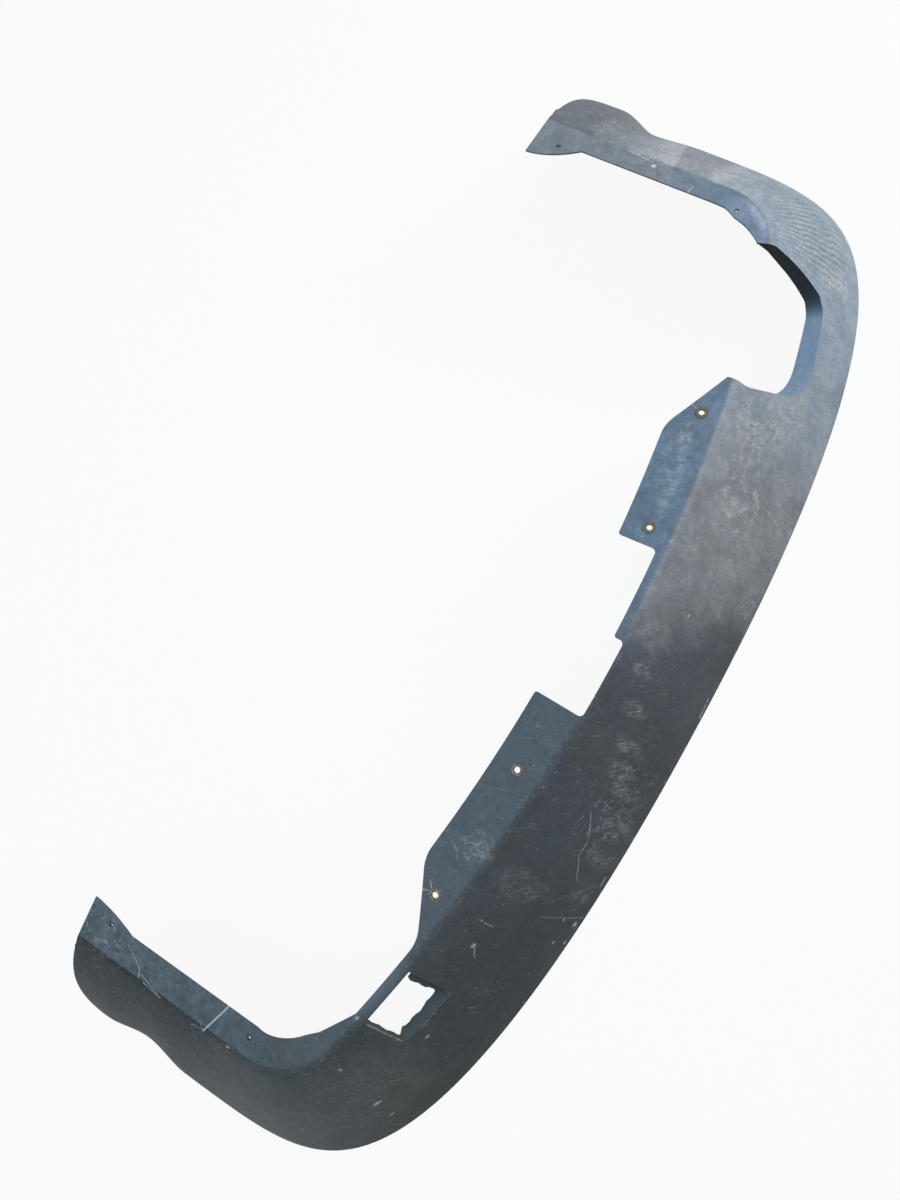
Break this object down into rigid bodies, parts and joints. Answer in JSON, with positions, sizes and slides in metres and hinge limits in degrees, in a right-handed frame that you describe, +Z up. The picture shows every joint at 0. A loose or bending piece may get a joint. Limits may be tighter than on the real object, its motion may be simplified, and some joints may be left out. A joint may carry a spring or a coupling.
{
  "type": "lower rear bumper cover",
  "caption": "Thin moulded U-shaped lower rear bumper cover with a fixing flange, an exhaust cut-out at one corner and a recess at the other.",
  "frame": {"origin": "middle of the bounding box in plan, at the level of the outer rim that the cover lies on", "axes": "+X across the cover towards the exhaust cut-out, +Y along the arms towards the wheel arches, +Z up from the rim to the flange"},
  "size_m": [1.757, 0.6401, 0.2474],
  "materials": {
    "grained_plastic": "fine grain, dusty and scuffed",
    "rusty_steel": "rusted"
  },
  "bodies": {
    "root": {"cover_moulding": "grained_plastic", "flange_eyelet_left_outer": "rusty_steel", "flange_eyelet_left_inner": "rusty_steel", "flange_eyelet_right_inner": "rusty_steel", "flange_eyelet_right_outer": "rusty_steel"}
  },
  "joints": []
}
